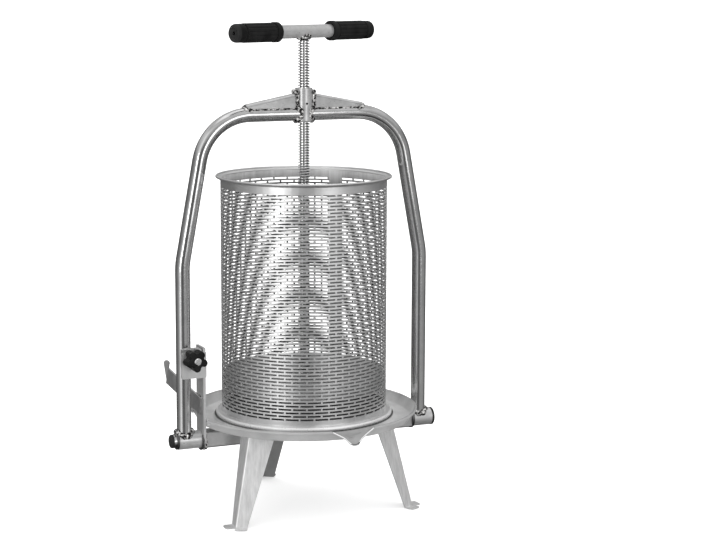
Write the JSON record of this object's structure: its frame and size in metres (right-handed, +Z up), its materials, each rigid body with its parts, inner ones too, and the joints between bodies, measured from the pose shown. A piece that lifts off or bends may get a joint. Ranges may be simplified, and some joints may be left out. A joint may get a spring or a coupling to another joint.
{
  "type": "screw fruit press",
  "caption": "Free-standing steel screw fruit press: perforated basket on a lipped juice tray with legs, hinged tube yoke, T-handled screw and round press plate.",
  "frame": {"origin": "on the floor, on the axis of the basket and screw", "axes": "+Z up along the screw, X along the yoke's hinge, -Y to the front with the pouring lip"},
  "size_m": [0.434, 0.3589, 0.742],
  "materials": {
    "polished_steel": "polished",
    "satin_steel": "satin",
    "screw_steel": "machined",
    "basket_steel": "bright rolled",
    "bronze": "turned",
    "grip_rubber": "matt",
    "black_plastic": "moulded"
  },
  "bodies": {
    "base": {"juice_tray": "satin_steel", "crossbeam": "satin_steel", "tray_saddle_left": "satin_steel", "tray_saddle_right": "satin_steel", "axle": "polished_steel", "axle_collar": "satin_steel", "axle_retaining_ring": "satin_steel", "axle_end_plug": "black_plastic", "leg_front_left": "satin_steel", "leg_front_right": "satin_steel", "leg_rear": "satin_steel", "latch_bar": "satin_steel", "latch_plate": "satin_steel", "tilt_rest": "satin_steel"},
    "yoke": {"yoke_tube_left": "polished_steel", "yoke_tube_right": "polished_steel", "hinge_sleeve_left": "polished_steel", "hinge_sleeve_right": "polished_steel", "screw_nut": "polished_steel", "gusset_left": "polished_steel", "gusset_right": "polished_steel", "latch_pad": "satin_steel"},
    "plate": {"press_plate": "satin_steel", "swivel_cup": "satin_steel", "thrust_washer": "bronze", "swivel_cover": "satin_steel", "cover_screw_1": "satin_steel", "cover_screw_2": "satin_steel", "cover_screw_3": "satin_steel", "cover_screw_4": "satin_steel"},
    "screw": {"screw_spindle": "screw_steel", "handle_bar": "polished_steel", "grip_left": "grip_rubber", "grip_right": "grip_rubber"},
    "basket": {"basket_wall": "basket_steel", "basket_rim": "basket_steel", "basket_base_ring": "basket_steel"},
    "clamp": {"latch_washer": "satin_steel"},
    "knob": {"latch_knob": "black_plastic", "latch_hub": "polished_steel", "latch_stud": "satin_steel"}
  },
  "joints": [
    {"name": "yoke_tilt", "type": "hinge", "parent": "base", "child": "yoke", "pos_m": [0, 0, 0.119], "axis": [-1, 0, 0], "range_deg": [0, 2]},
    {"name": "plate_travel", "type": "slide", "parent": "yoke", "child": "plate", "axis": [0, 0, 1], "range_m": [-0.034, 0.364]},
    {"name": "screw_turn", "type": "hinge", "parent": "plate", "child": "screw", "pos_m": [0, 0, 0.2], "axis": [0, 0, 1], "range_deg": [-3060, 32760]},
    {"name": "basket_lift", "type": "slide", "parent": "base", "child": "basket", "axis": [0, 0, 1], "range_m": [0, 0.03]},
    {"name": "knob_travel", "type": "slide", "parent": "base", "child": "clamp", "axis": [0, -1, 0], "range_m": [0, 0.01]},
    {"name": "knob_turn", "type": "hinge", "parent": "clamp", "child": "knob", "pos_m": [-0.186, 0, 0.247], "axis": [0, -1, 0], "range_deg": [0, 2880]}
  ],
  "couplings": [
    {"joint": "plate_travel", "follows": "screw_turn", "m_per_rad": 0.00063662},
    {"joint": "knob_travel", "follows": "knob_turn", "m_per_rad": 0.00019894}
  ]
}
